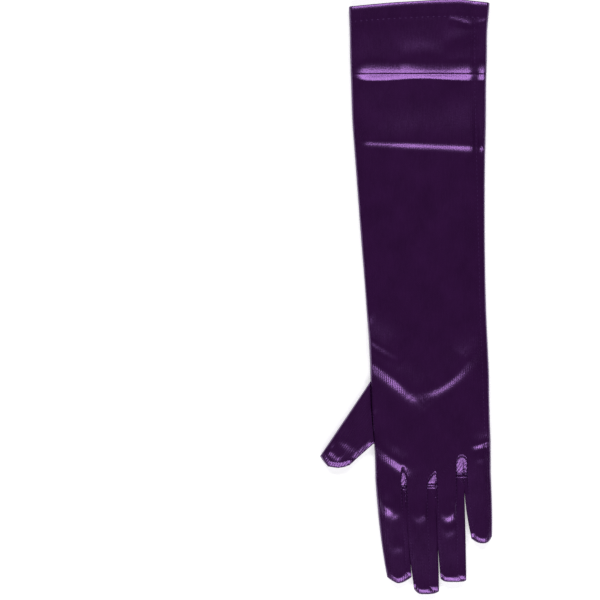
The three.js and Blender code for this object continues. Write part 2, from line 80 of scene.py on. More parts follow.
# Each finger's width is a share of the hand's, its length one of the middle finger's, and its lean to the
# right one of the hand's width. left and right are the strips of fourchette that show beside it, and None is
# an outer side of the glove, which has no seam.
FINGERS = [
    {"width": 0.253, "length": 0.912, "lean": 0.09, "left": None, "right": 0.042, "taper": 0.21},
    {"width": 0.264, "length": 1.0, "lean": 0.064, "left": 0.02, "right": 0.082, "taper": 0.22},
    {"width": 0.249, "length": 0.9, "lean": 0.038, "left": 0.02, "right": 0.074, "taper": 0.13},
    {"width": 0.234, "length": 0.585, "lean": 0.045, "left": 0.035, "right": None, "taper": 0.3},
]
ROOT_LEAN = 0.6  # how fast a finger leans at its root, as a share of how fast further on
TAPER_POWER = 2.5  # a finger stays wide for long and then tapers fast

# How each fingertip is cut: its lowest point across, how far its two corners lie back, and how blunt each
# half is.
TIPS = [
    {"peak": 0.42, "corners": (4.4, 4.6), "bluntness": (1.5, 1.8)},
    {"peak": 0.5, "corners": (3.6, 2.0), "bluntness": (5.0, 3.0)},
    {"peak": 0.55, "corners": (2.6, 1.2), "bluntness": (6.0, 5.0)},
    {"peak": 0.5, "corners": (3.6, 5.2), "bluntness": (2.4, 3.6)},
]
TIP_ROUND = 6.0
TIP_RIM = {"start": 0.36, "length": 0.6, "drop": 0.42}  # shares of the tip's closing stretch and of its loft
RIM_POWER = 1.15
CLOSING_POWER = 24  # the two layers meet in a seam as blunt as an oval of this power

# The seam round each crotch: where its arch tops out, how deep and how curved the arch is, and how far down
# the bright patch of the fourchette shows before it folds away.
NOTCHES = [
    {"top": 1.0, "depth": 6.0, "apex": 0.34, "bend": 1.7, "patch": 11.0},
    {"top": 0.0, "depth": 8.6, "apex": 0.84, "bend": 1.4, "patch": 9.0},
    {"top": 11.6, "depth": 4.5, "apex": 0.5, "bend": 2.0, "patch": 13.0},
]

# Heights, as shares of the loft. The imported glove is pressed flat, so its back sinks a little between its
# seams, and its outer sides bulge out by less than half their height.
CROWN = -0.04
SEAM_HEIGHT = 0.93
EDGE_HEIGHT = 0.78
EDGE_REACH = 0.22
FOOT_INSET = 0.17
FINGER_LOFT = 0.94
TIP_LOFT = 0.75
TIP_FALL = 50.0  # how far from its tip a finger starts to get lower
ROOT_SHARE = 0.3  # of a finger's length, in which it falls from the palm's loft to its own
FINGER_FLATNESS = 3
ARM_FLATNESS = 4

# How the palm takes over from the fingers, as shares of its length: their columns straighten, their heights
# become one back, and the wrinkles start to run across the crotches.
COLUMN_BLEND = 0.5
HEIGHT_BLEND = 0.4
WRINKLE_BLEND = 0.06
SEAM_FADE = 0.1  # share of a finger's width in which the wrinkles fade at its seams

# How finely the cloth is drawn.
SIDE_CELLS = 9
LIP_CELLS = 3  # cells of the near side that are left above the thumb's hole
FINGER_CELLS = 14
NOTCH_CELLS = 12
ROLL_CELLS = 6
TIP_ROWS = 12
ROW_STEP = 1.5
FINE_STEP = 0.45  # between the rows at the sharp fold mark
FINE_ROWS = {"below": 14, "above": 16, "clear": 17}
PLAIN_SLEEVE = [(100, 222), (242, 270)]  # nothing fine lies between these, so every second row is enough

trank_low = np.array(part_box("trank")[0]) / MILLIMETRE
trank_high = np.array(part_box("trank")[1]) / MILLIMETRE
SLEEVE_LENGTH = trank_high[1] - trank_low[1] - PALM_LENGTH - MIDDLE_LENGTH
cuff_lean = WRIST_SHIFT + SLEEVE_LEAN * SLEEVE_SECTIONS["lean"][-1]
HAND_PLACE = np.array([trank_low[0] + CUFF_WIDTH / 2 + cuff_lean, trank_low[1] + MIDDLE_LENGTH, 0])


def mix(start, end, share):
    """The straight line between two values."""
    return start + (end - start) * share


def smooth(share):
    """3s^2 - 2s^3 of a share that is held between 0 and 1."""
    share = np.clip(share, 0, 1)
    return share * share * (3 - 2 * share)


def soft_table(table, column, place):
    """A column of the table read at a place, its corners rounded by averaging over a span."""
    spans = np.linspace(-SECTION_SOFTNESS, SECTION_SOFTNESS, SECTION_SAMPLES)
    return np.mean([np.interp(place + span, table["along"], table[column]) for span in spans], axis=0)


# Wrinkles of the back, each along a bent line: steep is its steepest slope towards the fingers at even
# steps from its start to its end, above and below how far it spreads to the cuff's side and to the
# fingers'. First the V at the wrist and the line above it, then the hand and the fingers, then the hem.
WRINKLES = [
    {"path": [(-50, 82), (-27, 70), (-4, 44)],
     "steep": (0.56, 0.56, 0.54, 0.42, 0), "above": 11, "below": 5.6},
    {"path": [(-12, 56), (15, 58), (34, 94)],
     "steep": (0.1, 0.36, 0.45, 0.56, 0), "above": 11, "below": 4.8},
    {"path": [(-48, 97), (-34, 87), (-20, 79)],
     "steep": (0.72, 0.7, 0.64, 0.44, 0), "above": 13, "below": 4.2},
    {"path": [(-40, 20), (-27, 9.5), (-17, 3)],
     "steep": (0.3, 0.54, 0.58, 0.5, 0.2), "above": 7, "below": 4.8},
    {"path": [(-44, 38), (-40, 29), (-35, 21)],
     "steep": (0.3, 0.34, 0.1), "above": 8, "below": 5.0},
    {"path": [(28.5, 19.0), (33, 20.3), (38, 22.0)],
     "steep": (0.4, 0.56, 0.62), "above": 7.5, "below": 2.8},
    {"path": [(30, 9), (33, 9.5), (36, 10)],
     "steep": (0.16, 0.24, 0.2), "above": 4, "below": 2.2},
    {"path": [(-38, -19.5), (-33, -22), (-26.5, -28)],
     "steep": (0.24, 0.48, 0.46, 0.24), "above": 7, "below": 4.8},
    {"path": [(-27, -53), (-24, -52), (-21, -50)],
     "steep": (0.1, 0.16, 0.1), "above": 6, "below": 3.5},
    {"path": [(-10.5, -31), (-8, -29), (-5, -26)],
     "steep": (0.2, 0.28, 0.2), "above": 7, "below": 4.2},
    {"path": [(10.5, -31), (13, -28.5), (16, -25)],
     "steep": (0.36, 0.46, 0.4), "above": 6, "below": 3.6},
    {"path": [(10.5, -42), (12.5, -40), (14.5, -38)],
     "steep": (0.14, 0.2, 0.14), "above": 5, "below": 3.4},
    {"path": [(12, 314.6), (19, 313), (26.5, 310.6)],
     "steep": (0.5, 0.48, 0.52, 0.4), "above": 2.5, "below": 1.3},
    {"path": [(30, 312), (34, 312), (38.5, 314.5)],
     "steep": (0.5, 0.5, 0.5), "above": 2.5, "below": 1.3},
    {"path": [(10, 300), (18, 301), (26, 305)],
     "steep": (0.16, 0.2, 0.16), "above": 8, "below": 5.0},
    {"path": [(-20, 289), (-6, 292), (6, 291)],
     "steep": (0.14, 0.2, 0.14), "above": 8, "below": 5.0},
]
LINE_POINTS = 41  # of a wrinkle's bent line
BELL_SLOPE = 0.858  # the steepest slope of a bell curve that is one high and one wide
END_SPREAD = 0.7  # how far a wrinkle runs out past its ends, as a share of its lower spread
# The slight waviness of packed cloth: how fast each wave runs across and along, and where it starts.
BACK_WAVES = {"height": 0.1, "rows": [(0.11, 0.07, 1.3), (-0.08, 0.19, 0), (0.16, -0.13, 4)]}

# The sharp fold mark near the cuff, and how far each of its flanks reaches, how deep it goes and how it
# curves out. It is held lower at its faded ends, and swells and shrinks along its line.
CREASE = {"y": 277.8, "left": -60, "right": 47, "left_fade": 12, "right_fade": 4, "round": 0.3,
          "ends": 0.4, "swell": 0.16, "swell_from": -8, "swell_length": 10}
CREASE_ABOVE = {"reach": 8.6, "depth": 3.1, "power": 1.5, "fade": 34.0}
CREASE_BELOW = {"reach": 4.5, "depth": 1.75, "power": 1.2}
# The softer one below it, which leans a little and grows from the thumb's side to the seam.
STEP = {"y": (231.9, 228.8), "rise": (1.95, 3.1), "below": (3.4, 5.4), "above": 20.0,
        "left": -54, "right": 40, "left_fade": 8, "right_fade": 6}

# The side seam's line, its groove and the pucker of its stitches, and how flat it holds a fold.
SIDE_SEAM = {"y": [-60, 40, 120, 200, 260, 340], "x": [39, 35.5, 32.6, 30.8, 29.2, 28.6]}
SEAM_GROOVE = {"depth": 0.45, "width": 0.7, "start": -10, "start_over": 30}
SEAM_PUCKER = {"height": 0.07, "width": 2.2, "pace": 0.9, "drift": 2, "drift_pace": 0.13}
SEAM_HOLD = {"share": 0.9, "width": 1.6}


def bent_line(path, share):
    """A quadratic curve through its first and last points, pulled towards the middle one."""
    start, bend, end = (np.array(point, float) for point in path)
    share = share[:, None]
    return (1 - share) ** 2 * start + 2 * share * (1 - share) * bend + share**2 * end


def wrinkle(x, y, row):
    """A bell, exp(-(distance / spread)^2), off the nearest point of the wrinkle's line, wider on its
    upper side. Past either end of the line it fades as a second bell."""
    share = np.linspace(0, 1, LINE_POINTS)
    line = bent_line(row["path"], share)
    run = np.gradient(line, axis=0)
    run /= np.linalg.norm(run, axis=1)[:, None]
    nearest = np.argmin((x[..., None] - line[:, 0]) ** 2 + (y[..., None] - line[:, 1]) ** 2, axis=-1)
    to_x = x - line[nearest, 0]
    to_y = y - line[nearest, 1]
    aside = run[nearest, 0] * to_y - run[nearest, 1] * to_x
    along = run[nearest, 0] * to_x + run[nearest, 1] * to_y
    past = np.where((nearest == 0) | (nearest == len(share) - 1), along, 0)
    spread = np.where(aside > 0, row["above"], row["below"])
    steep = np.interp(share[nearest], np.linspace(0, 1, len(row["steep"])), row["steep"])
    height = steep * row["below"] / BELL_SLOPE
    return height * np.exp(-((aside / spread) ** 2) - (past / (row["below"] * END_SPREAD)) ** 2)


def waviness(x, y, waves):
    """Crossing sine waves, added up."""
    total = sum(np.sin(across * x + along * y + start) for across, along, start in waves["rows"])
    return waves["height"] * total


def seam_x(y):
    """Where the side seam lies at a y."""
    return np.interp(y, SIDE_SEAM["y"], SIDE_SEAM["x"])


def side_seam(x, y):
    """The groove of the side seam, a narrow bell downwards, and the pucker beside it, a sine along the
    seam whose pace drifts, under a wider bell."""
    from_seam = x - seam_x(y)
    groove = SEAM_GROOVE["depth"] * np.exp(-((from_seam / SEAM_GROOVE["width"]) ** 2))
    drift = SEAM_PUCKER["drift"] * np.sin(y * SEAM_PUCKER["drift_pace"])
    pucker = np.sin(y * SEAM_PUCKER["pace"] + drift) * np.exp(-((from_seam / SEAM_PUCKER["width"]) ** 2))
    sewn = smooth((y - SEAM_GROOVE["start"]) / SEAM_GROOVE["start_over"])
    return (SEAM_PUCKER["height"] * pucker - groove) * sewn


def loose(x, y):
    """How freely the cloth folds: 1 on the open back and nearly 0 at the side seam, which holds it flat."""
    return 1 - SEAM_HOLD["share"] * np.exp(-(((x - seam_x(y)) / SEAM_HOLD["width"]) ** 2))


def fold_mark(x, y):
    """The sharp fold mark: two flanks that rise off its line as 1 - (1 - s)^power, where s is the
    distance as a share of the flank's reach. The upper flank is the deeper one, and sinks back to the
    lower one's height."""
    away = y - CREASE["y"]
    rounded = np.sqrt(away**2 + CREASE["round"] ** 2)
    across = smooth((x - CREASE["left"]) / CREASE["left_fade"])
    across = across * smooth((CREASE["right"] - x) / CREASE["right_fade"])
    swell = 1 - CREASE["swell"] * np.cos((x - CREASE["swell_from"]) / CREASE["swell_length"])
    swell = swell * mix(CREASE["ends"], 1, across)
    flanks = []
    for flank in (CREASE_ABOVE, CREASE_BELOW):
        left_over = np.clip(1 - rounded / (flank["reach"] * swell), 0, 1)
        flanks.append(flank["depth"] * swell * (1 - left_over ** flank["power"]))
    above, below = flanks
    above -= (CREASE_ABOVE["depth"] - CREASE_BELOW["depth"]) * swell * smooth(away / CREASE_ABOVE["fade"])
    return loose(x, y) * across * (np.where(away > 0, above, below) - CREASE_BELOW["depth"] * swell)


def soft_fold(x, y):
    """The softer fold mark: a bell across its leaning line, steep to the fingers and long to the cuff."""
    share = np.clip((x - STEP["left"]) / (STEP["right"] - STEP["left"]), 0, 1)
    down = y - mix(*STEP["y"], share)
    spread = np.where(down > 0, STEP["above"], mix(*STEP["below"], share))
    across = smooth((x - STEP["left"]) / STEP["left_fade"])
    across = across * smooth((STEP["right"] - x) / STEP["right_fade"])
    return mix(*STEP["rise"], share) * loose(x, y) * across * np.exp(-((down / spread) ** 2))


def relief(x, y):
    """Everything that the back of the glove does besides its soft crown."""
    wrinkles = sum(wrinkle(x, y, row) for row in WRINKLES)
    return wrinkles + fold_mark(x, y) + soft_fold(x, y) + side_seam(x, y) + waviness(x, y, BACK_WAVES)


fingers = []
clear_width = HAND_WIDTH - FINGER_GAP * (len(FINGERS) - 1)
edge_inset = LOFT * EDGE_REACH
used = 0.0
for k, row in enumerate(FINGERS):
    sides = (row["left"], row["right"])
    fingers.append({
        "middle": (used + row["width"] / 2) * clear_width + k * FINGER_GAP - HAND_WIDTH / 2,
        "width": row["width"] * clear_width,
        "length": row["length"] * MIDDLE_LENGTH,
        "lean": row["lean"] * HAND_WIDTH,
        "taper": row["taper"],
        "sewn": [side is not None for side in sides],
        "seams": [edge_inset if side is None else side * HAND_WIDTH for side in sides],
        "feet": [edge_inset if side is None else FOOT_INSET * LOFT for side in sides],
        "edge_height": [EDGE_HEIGHT if side is None else SEAM_HEIGHT for side in sides],
    })
    used += row["width"]


def seam_start(notch, upper):
    """How high above the finger line a seam leaves its notch. Outer fingers use the one notch they have."""
    nearest = min(max(notch, 0), len(NOTCHES) - 1)
    drop = 0 if upper or nearest != notch else FOURCHETTE_DROP
    return NOTCHES[nearest]["top"] - NOTCHES[nearest]["depth"] - drop


def root_y(k, share, upper):
    """The y at which a finger's column meets the palm."""
    return mix(seam_start(k - 1, upper), seam_start(k, upper), share)


def finger_edges(k, y):
    """The left and right edges of a finger at a y, as it leans and tapers by powers of its length."""
    finger = fingers[k]
    down = np.clip(-y / finger["length"], 0, 1)
    middle = finger["middle"] + finger["lean"] * down * mix(ROOT_LEAN, 1, down)
    half = finger["width"] * (1 - finger["taper"] * down**TAPER_POWER) / 2
    return middle - half, middle + half


def finger_x(k, share, y, upper, opened=1.0):
    """The x of a finger's column between its seams, which reach its edges where opened is 0."""
    left, right = finger_edges(k, y)
    insets = fingers[k]["seams" if upper else "feet"]
    return mix(left + insets[0] * opened, right - insets[1] * opened, share)


def back_height(edge, share, flatness):
    """The back's height as a share of the loft: edge at both sides, and an arch 1 - |2s - 1|^flatness."""
    return edge + (1 + CROWN - edge) * (1 - np.abs(2 * share - 1) ** flatness)


def finger_height(k, share):
    """The height of a finger's back at a share of its width."""
    return back_height(mix(*fingers[k]["edge_height"], share), share, FINGER_FLATNESS)


def seam_fade(k, share):
    """1 over most of a finger's back, 0 at its seams. The glove's two outer sides have none."""
    left, right = (
        smooth(off / SEAM_FADE) if sewn else 1 + 0 * off
        for off, sewn in zip((share, 1 - share), fingers[k]["sewn"]))
    return left * right


def closing(tip):
    """How far two layers stand apart as a share, near the seam that closes their end: a blunt oval."""
    return np.sqrt(1 - tip**CLOSING_POWER)


def tip_opening(tip):
    """How far a fingertip's two layers stand apart: they draw together in an even ramp, which is the
    tip's bright rim, and then meet in a round seam."""
    ramp = np.clip((tip - TIP_RIM["start"]) / TIP_RIM["length"], 0, 1) ** RIM_POWER
    return (1 - TIP_RIM["drop"] * ramp) * closing(tip)


def finger_loft(k, straight):
    """The loft of a finger: the palm's at its root, a little less along it and less again at its tip."""
    from_tip = (1 - straight) * fingers[k]["length"]
    own = mix(1, FINGER_LOFT, smooth(straight / ROOT_SHARE))
    return LOFT * own * mix(TIP_LOFT, 1, smooth(from_tip / TIP_FALL))


def finger_sheet(k, upper, straight, tip, share):
    """Rows and columns of a finger's back or front. straight runs 0 to 1 from the root to the tip's
    start, and tip 0 to 1 while the tip closes. Across its end the tip is cut as two powers that meet at
    its peak. While it closes, the layer moves to half the loft, where the other one meets it."""
    finger, cut = fingers[k], TIPS[k]
    straight, tip = straight[:, None], tip[:, None]
    share = share[None, :]
    half = (share > cut["peak"]).astype(int)
    off = np.abs(share - cut["peak"]) / np.array([cut["peak"], 1 - cut["peak"]])[half]
    tip_y = -finger["length"] + np.array(cut["corners"])[half] * off ** np.array(cut["bluntness"])[half]
    y = mix(root_y(k, share, upper), tip_y + TIP_ROUND, straight) - TIP_ROUND * tip
    opened = tip_opening(tip)
    x = finger_x(k, share, y, upper, opened)
    loft = finger_loft(k, straight)
    if upper:
        z = finger_height(k, share) * loft + seam_fade(k, share) * relief(x, y)
    else:
        z = 0 * x
    return np.stack([x, y, mix(loft / 2, z, opened)], axis=-1)


def seamed_shares(cells):
    """Shares from 0 to 1 that lie closer together at both seams, as (1 - cos) / 2 of even turns."""
    return (1 - np.cos(np.pi * np.linspace(0, 1, cells + 1))) / 2


def notch_arc(notch):
    """The arched seam round a crotch: how far across each point lies, and its height as a share of the
    arch, which falls from its top to either side as a bent ellipse."""
    row = NOTCHES[notch]
    across = seamed_shares(NOTCH_CELLS)[1:-1]
    off = np.abs(across - row["apex"]) / np.where(across < row["apex"], row["apex"], 1 - row["apex"])
    return across, (1 - off ** row["bend"]) ** (1 / row["bend"])


def root_line(upper):
    """The x, y and height share of every column where the fingers and notches meet the palm, and how much
    of the relief each takes there."""
    parts = []
    share = seamed_shares(FINGER_CELLS)
    for k in range(len(fingers)):
        y = root_y(k, share, upper)
        parts.append([finger_x(k, share, y, upper), y, finger_height(k, share), seam_fade(k, share)])
        if k + 1 < len(fingers):
            across, rise = notch_arc(k)
            start = np.array([seam_start(k, upper)])
            left = finger_x(k, np.array([1.0]), start, upper)
            right = finger_x(k + 1, np.array([0.0]), start, upper)
            y = start + NOTCHES[k]["depth"] * rise
            parts.append([mix(left, right, across), y, SEAM_HEIGHT + 0 * across, 0 * across])
    return [np.concatenate(column) for column in zip(*parts)]


ROOTS = {upper: root_line(upper) for upper in (True, False)}


def arm_section(place):
    """Half width, middle and loft of the arm. place is 0 to 1 from the finger line to the wrist, and 1 to
    2 from there to the cuff."""
    palm = smooth(place)
    up = np.clip(place - 1, 0, 1)
    flare = soft_table(SLEEVE_SECTIONS, "flare", up) * (CUFF_WIDTH - WRIST_WIDTH)
    lean = soft_table(SLEEVE_SECTIONS, "lean", up) * SLEEVE_LEAN
    half = (mix(HAND_WIDTH, WRIST_WIDTH, palm) + flare) / 2
    return half, -WRIST_SHIFT * palm - lean, LOFT * mix(1, soft_table(SLEEVE_SECTIONS, "loft", up), palm)


def arm_sheet(place, upper):
    """Rows and columns of the arm's back or front. A column keeps its share of the width from fingers to
    cuff. The back is a blunt arch with the relief on it, a shallow groove at the hem's stitches and a
    slope at its edge."""
    root_x, root, height, fade = ROOTS[upper]
    place = np.asarray(place, float)[:, None]
    half, middle, loft = arm_section(place)
    share = (root_x - root_x[0]) / (root_x[-1] - root_x[0])
    flat = half - loft * EDGE_REACH
    x = mix(root_x, middle + mix(-flat, flat, share), np.clip(place / COLUMN_BLEND, 0, 1))
    up = np.clip(place - 1, 0, 1)
    slant = CUFF_SLANT * np.interp(share, CUFF_EDGE["across"], CUFF_EDGE["drop"])
    slant = slant * smooth((up - SLANT_START) / (1 - SLANT_START))
    y = mix(root, PALM_LENGTH, np.clip(place, 0, 1)) + up * SLEEVE_LENGTH - slant
    if not upper:
        return np.stack([x, y, 0 * x], axis=-1)
    to_edge = SLEEVE_LENGTH * (1 - up)
    from_stitch = to_edge - HEM_STITCH
    groove = HEM_GROOVE["depth"] * np.exp(-((from_stitch / HEM_GROOVE["width"]) ** 2))
    bumps = relief(x, y) - groove + HEM_GROOVE["rise"] * smooth(-from_stitch / HEM_GROOVE["rise_over"])
    rim = CUFF_RIM["drop"] * np.clip(1 - to_edge / CUFF_RIM["width"], 0, 1) ** RIM_POWER
    back = loft * back_height(EDGE_HEIGHT, share, ARM_FLATNESS)
    z = mix(height * LOFT, back, smooth(place / HEIGHT_BLEND))
    z = z + mix(fade, 1, smooth(place / WRINKLE_BLEND)) * bumps - rim
    return np.stack([x, y, z], axis=-1)


def round_side(above, below, bulge):
    """Points on a half oval from a corner of the back to the one below it. bulge is its reach."""
    turn = np.pi * np.linspace(0, 1, SIDE_CELLS + 1)[None, :, None]
    return mix(above[:, None], below[:, None], (1 - np.cos(turn)) / 2) + bulge[:, None] * np.sin(turn)


def arm_loop(place):
    """Closed rows round the arm: the back from the thumb's side, the far side, the front, the near side."""
    upper = arm_sheet(place, True)
    lower = arm_sheet(place, False)[:, ::-1]
    bulge = np.zeros((len(place), 3))
    bulge[:, 0] = arm_section(np.asarray(place, float))[2] * EDGE_REACH
    far = round_side(upper[:, -1], lower[:, 0], bulge)
    near = round_side(upper[:, 0], lower[:, -1], -bulge)[:, ::-1]
    return np.concatenate([upper, far[:, 1:], lower[:, 1:], near[:, 1:]], axis=1)


def rows_between(start, end, step):
    """Evenly spread places from start to end, no further apart than a step."""
    return np.linspace(start, end, int(np.ceil(abs(end - start) / step)) + 1)


def sleeve_places():
    """The sleeve's rows: even ones, every second of them where the sleeve is plain, and fine ones at the
    sharp fold mark."""
    even = rows_between(1, 2, ROW_STEP / SLEEVE_LENGTH)
    y = PALM_LENGTH + (even - 1) * SLEEVE_LENGTH
    plain = sum((y > start) & (y < end) for start, end in PLAIN_SLEEVE)
    even = even[(plain == 0) | (np.arange(len(even)) % 2 == 0)]
    crease = 1 + (CREASE["y"] - PALM_LENGTH) / SLEEVE_LENGTH
    step = FINE_STEP / SLEEVE_LENGTH
    fine = crease + np.arange(-FINE_ROWS["below"], FINE_ROWS["above"] + 1) * step
    clear = np.abs(even - crease) > FINE_ROWS["clear"] * step
    return np.sort(np.concatenate([even[clear], fine]))


def tipped_rows(length, step):
    """Rows of a piece that closes at its tip, as finger_sheet's straight and tip: even ones down to the
    tip's start, and then ones at even turns round the tip."""
    straight = rows_between(0, 1, step / length)
    turns = np.sin(np.linspace(0, np.pi / 2, TIP_ROWS + 1)[1:])
    return np.concatenate([straight, np.ones(TIP_ROWS)]), np.concatenate([0 * straight, turns])


def cuff_roll(edge):
    """The rows where the cloth turns over the cuff's edge and inwards: half circles off the edge loop."""
    run = np.gradient(edge, axis=0)
    inwards = np.stack([-run[:, 2], 0 * run[:, 0], run[:, 0]], axis=-1)
    inwards /= -np.linalg.norm(inwards, axis=1)[:, None]
    turn = np.linspace(0, np.pi, ROLL_CELLS + 1)[1:, None, None]
    return edge + CUFF_ROLL * (np.sin(turn) * np.array([0, 1, 0]) + (1 - np.cos(turn)) * inwards)


def threads(panel, turn):
    """The knit's own coordinates, in millimetres: the length round the piece, square to its ribs, and the
    length along them. turn is how far the ribs lean off the glove's length."""
    across = panel[..., 0] * np.cos(turn) - panel[..., 1] * np.sin(turn)
    along = panel[..., 0] * np.sin(turn) + panel[..., 1] * np.cos(turn)
    steps = np.hypot(np.diff(across, axis=1), np.diff(panel[..., 2], axis=1))
    round_it = across[:, :1] + np.concatenate([0 * across[:, :1], np.cumsum(steps, axis=1)], axis=1)
    return np.stack([round_it, along], axis=-1)


def sew(name, panels, material, replaced, turn=0.0):
    """Joins grids of points into a closed wall of cloth. The outside faces whoever sees a grid's rows run
    left to right and the next row above. Points within a thousandth of a millimetre become one, and a
    face with two equal corners becomes a triangle."""
    points, corners, weave = [], [], []
    count = 0
    for panel in panels:
        rows, columns = panel.shape[:2]
        number = count + np.arange(rows * columns).reshape(rows, columns)
        cells = [number[:-1, :-1], number[:-1, 1:], number[1:, 1:], number[1:, :-1]]
        corners.append(np.stack(cells, axis=-1).reshape(-1, 4))
        points.append(panel.reshape(-1, 3))
        weave.append(threads(panel, turn).reshape(-1, 2))
        count += rows * columns
    points = np.concatenate(points) + HAND_PLACE
    corners = np.concatenate(corners)
    weave = np.concatenate(weave)
    _, first, same = np.unique(np.round(points, 3), axis=0, return_index=True, return_inverse=True)
    faces = same.reshape(-1)[corners]
    twins = faces == np.roll(faces, -1, axis=1)
    whole = twins.sum(axis=1) == 0
    halved = twins.sum(axis=1) == 1
    kept = np.sort(np.argsort(twins[halved], axis=1, kind="stable")[:, :3], axis=1)
    three = np.take_along_axis(faces[halved], kept, axis=1)
    mesh = bpy.data.meshes.new(name)
    mesh.from_pydata(points[first] * MILLIMETRE, [], faces[whole].tolist() + three.tolist())
    uv = np.concatenate([
        weave[corners[whole]].reshape(-1, 2),
        weave[np.take_along_axis(corners[halved], kept, axis=1)].reshape(-1, 2),
    ])
    mesh.uv_layers.new(name="weave").data.foreach_set("uv", uv.ravel())
    mesh.polygons.foreach_set("use_smooth", np.ones(len(mesh.polygons), bool))
    mesh.validate()
    mesh.materials.append(material)
    piece = bpy.data.objects.new(name, mesh)
    bpy.context.scene.collection.objects.link(piece)
    thick = piece.modifiers.new("wall", "SOLIDIFY")
    thick.thickness = CLOTH * MILLIMETRE
    thick.offset = -1
    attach(piece, "root")
    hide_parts(*replaced)


def colour(code):
    """A colour from its sRGB hex code, turned to linear light."""
    values = np.array([int(code[i:i + 2], 16) for i in (1, 3, 5)]) / 255
    linear = np.where(values <= 0.04045, values / 12.92, ((values + 0.055) / 1.055) ** 2.4)
    return (*linear.tolist(), 1.0)


def empty_material(name):
    """A new material and its node tree, with nothing in it."""
    material = bpy.data.materials.new(name)
    material.use_nodes = True
    material.node_tree.nodes.clear()
    return material, material.node_tree


def node(tree, kind, inputs=None, **settings):
    """Adds a node with its settings. An input is a value, or another node's output to link."""
    made = tree.nodes.new(kind)
    for name, value in settings.items():
        setattr(made, name, value)
    for socket, value in (inputs or {}).items():
        if isinstance(value, bpy.types.NodeSocket):
            tree.links.new(value, made.inputs[socket])
        else:
            made.inputs[socket].default_value = value
    return made


# The knit. Its real ribs are 0.3 mm apart, finer than the render can show, and are drawn at 1.5 mm.
RIB_PITCH = 1.5
RIB_LENGTH = 40
RIB_HEIGHT = 0.055
WAVE_SCALE = 0.3183  # at which one band of the wave texture is about one unit wide
GLOSS_CHANGE = (-0.06, 0.1)  # how much smoother and rougher the yarn's streaks are
# How large the unevenness of the yarn is, across and along the ribs, and how fine and rough.
YARN = {
    "streaks": {"size": (1.1, 7), "detail": 3.0, "roughness": 0.6},
    "clouds": {"size": (16, 22), "detail": 4.0, "roughness": 0.55},
    "grain": {"size": (0.9, 1.3), "detail": 1.0, "roughness": 0.5},
}


def satin_knit(name, deep, light, tint, roughness, specular):
    """Polyester satin knit, dyed through: nearly black where it faces the dark, and a coloured sheet of
    light where it tips towards a lamp, broken up by the fine ribs that run down the glove."""
    material, tree = empty_material(name)
    place = node(tree, "ShaderNodeUVMap", uv_map="weave").outputs["UV"]
    rib_place = node(tree, "ShaderNodeMapping", {
        "Vector": place, "Scale": (1 / RIB_PITCH, 1 / RIB_LENGTH, 1)})
    ribs = node(tree, "ShaderNodeTexWave", {
        "Vector": rib_place.outputs["Vector"], "Scale": WAVE_SCALE, "Distortion": 1.2, "Detail": 2.0,
        "Detail Scale": 1.5}, wave_type="BANDS", bands_direction="X")
    yarn = {}
    for feature, row in YARN.items():
        across, along = row["size"]
        scaled = node(tree, "ShaderNodeMapping", {"Vector": place, "Scale": (1 / across, 1 / along, 1)})
        noise = node(tree, "ShaderNodeTexNoise", {
            "Vector": scaled.outputs["Vector"], "Scale": 1.0, "Detail": row["detail"],
            "Roughness": row["roughness"]})
        yarn[feature] = noise.outputs["Fac"]
    tone = node(tree, "ShaderNodeMix", {
        "Factor": yarn["clouds"], "A": colour(deep), "B": colour(light)}, data_type="RGBA")
    gloss = node(tree, "ShaderNodeMapRange", {
        "Value": yarn["streaks"], "To Min": roughness + GLOSS_CHANGE[0],
        "To Max": roughness + GLOSS_CHANGE[1]})
    lines = node(tree, "ShaderNodeMath", {0: ribs.outputs["Fac"], 1: yarn["streaks"]}, operation="ADD")
    height = node(tree, "ShaderNodeMath", {0: lines.outputs["Value"], 1: yarn["grain"]}, operation="ADD")
    bump = node(tree, "ShaderNodeBump", {
        "Height": height.outputs["Value"], "Strength": 1.0, "Distance": RIB_HEIGHT * MILLIMETRE})
    tangent = node(tree, "ShaderNodeTangent", direction_type="UV_MAP", uv_map="weave")
    satin = node(tree, "ShaderNodeBsdfPrincipled", {
        "Base Color": tone.outputs["Result"], "Roughness": gloss.outputs["Result"], "IOR": 1.6,
        "Specular IOR Level": specular, "Specular Tint": colour(tint), "Anisotropic": 0.35,
        "Normal": bump.outputs["Normal"], "Tangent": tangent.outputs["Tangent"]})
    node(tree, "ShaderNodeOutputMaterial", {"Surface": satin.outputs["BSDF"]})
    return material


aubergine_satin = satin_knit("aubergine_satin_knit", "#200426", "#33103d", "#d094f4", 0.26, 1.0)

hole_start = 1 - THUMB_HOLE / (PALM_LENGTH - ROOTS[True][1][0])
hole_loops = arm_loop(rows_between(hole_start, 1, ROW_STEP / PALM_LENGTH))
sleeve_loops = arm_loop(sleeve_places())
cuff_edge = sleeve_loops[-1]
panels = [
    arm_loop(rows_between(0, hole_start, ROW_STEP / PALM_LENGTH)),
    hole_loops[:, :-SIDE_CELLS],
    hole_loops[:, -LIP_CELLS - 1:],
    np.concatenate([sleeve_loops, cuff_roll(cuff_edge)]),
]

for k, finger in enumerate(fingers):
    straight, tip = tipped_rows(finger["length"], ROW_STEP)
    share = seamed_shares(FINGER_CELLS)
    upper = finger_sheet(k, True, straight, tip, share)[::-1]
    lower = finger_sheet(k, False, straight, tip, share)[::-1, ::-1]
    panels += [upper, lower]
    bulge = np.zeros((len(tip), 3))
    bulge[:, 0] = (edge_inset * tip_opening(tip))[::-1]
    if k == 0:
        panels.append(round_side(upper[:, 0], lower[:, -1], -bulge)[:, ::-1])
    if k + 1 == len(fingers):
        panels.append(round_side(upper[:, -1], lower[:, 0], bulge))

sew("trank_satin", panels, aubergine_satin, ["trank"])

